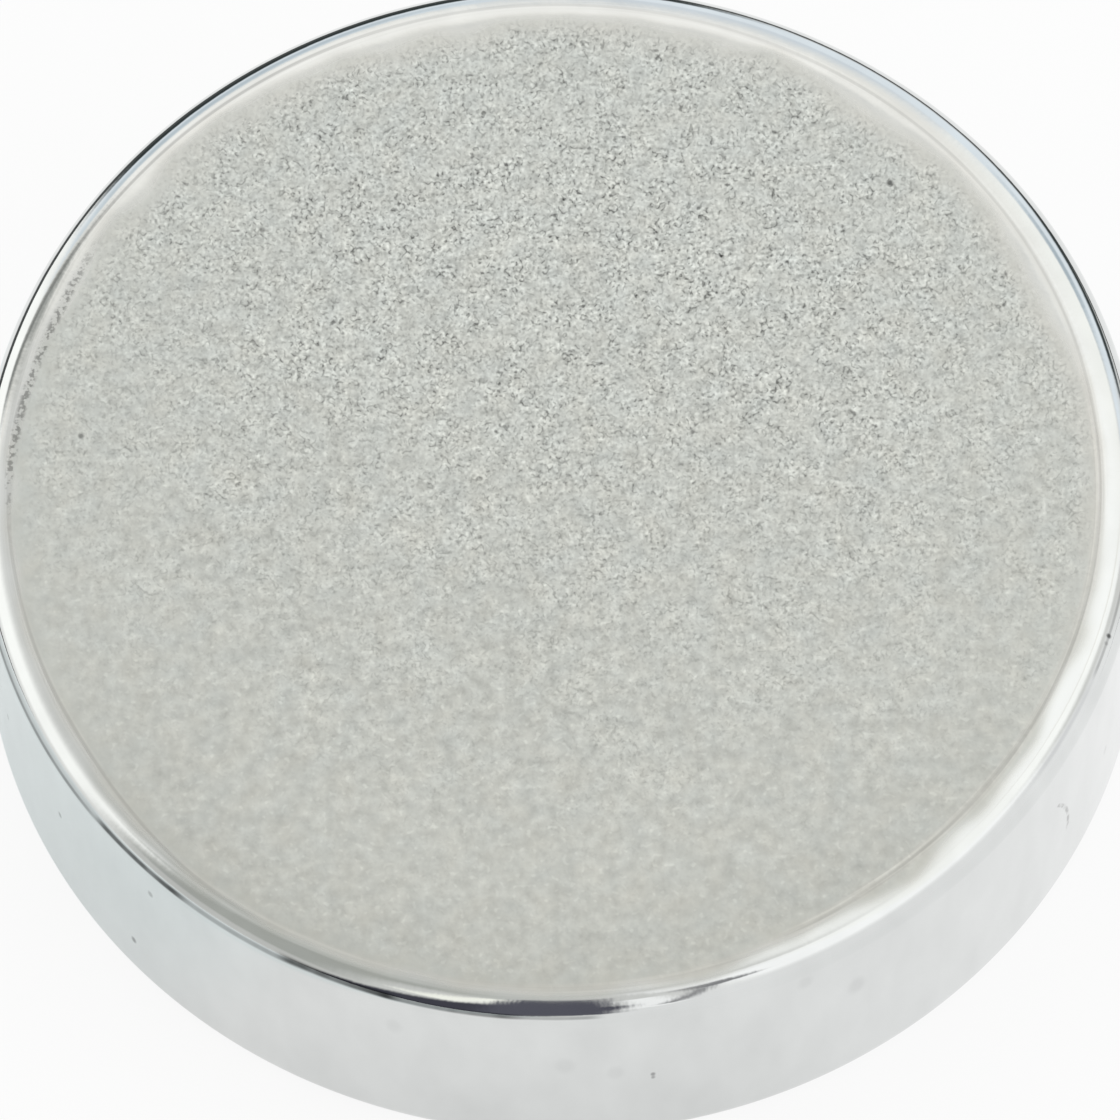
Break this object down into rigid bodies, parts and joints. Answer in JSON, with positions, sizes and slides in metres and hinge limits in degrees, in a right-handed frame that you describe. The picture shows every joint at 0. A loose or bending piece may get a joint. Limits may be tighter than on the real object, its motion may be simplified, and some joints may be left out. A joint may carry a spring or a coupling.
{
  "type": "disc magnet",
  "caption": "Round nickel plated disc magnet with flat pole faces and tumbled edges, for holding, latching or sensing.",
  "frame": {"origin": "centre of the lower pole face", "axes": "+Z along the magnetic axis, from the lower pole face to the upper one"},
  "size_m": [0.02, 0.02, 0.005],
  "materials": {
    "nickel_plate": "nickel plate: bright on the wall and edges, fine satin grain on the pole faces"
  },
  "bodies": {
    "root": {"magnet_disc": "nickel_plate"}
  },
  "joints": []
}
